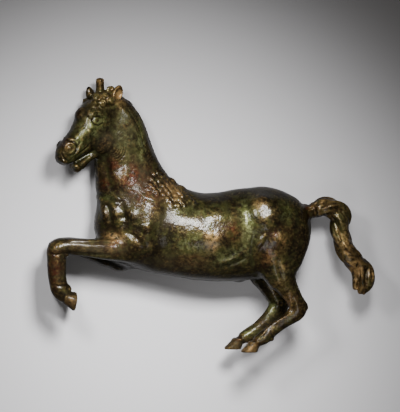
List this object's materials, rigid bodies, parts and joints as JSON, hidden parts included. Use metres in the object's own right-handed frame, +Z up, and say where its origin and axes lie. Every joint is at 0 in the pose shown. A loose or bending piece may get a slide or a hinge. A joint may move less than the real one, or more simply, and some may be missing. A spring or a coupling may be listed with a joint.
{
  "type": "bronze rearing horse statuette",
  "caption": "Cast bronze statuette of a rearing horse with a hogged mane, a bound topknot and a twisted tail, lying on its right side because it can't balance on its hind hooves.",
  "frame": {"origin": "on the floor, below the middle of the lying horse's box", "axes": "+X from head to tail, along the trunk; +Y from the hooves to the back, so it is up on the upright horse; +Z up from the floor, out of the horse's left side"},
  "size_m": [0.2864, 0.236, 0.0625],
  "materials": {
    "lacquered_bronze": "Dark brown-black lacquered bronze, glossy, with olive green in the hollows, reddish brown patches and golden tan where it is worn."
  },
  "bodies": {
    "root": {"horse": "lacquered_bronze"}
  },
  "joints": []
}
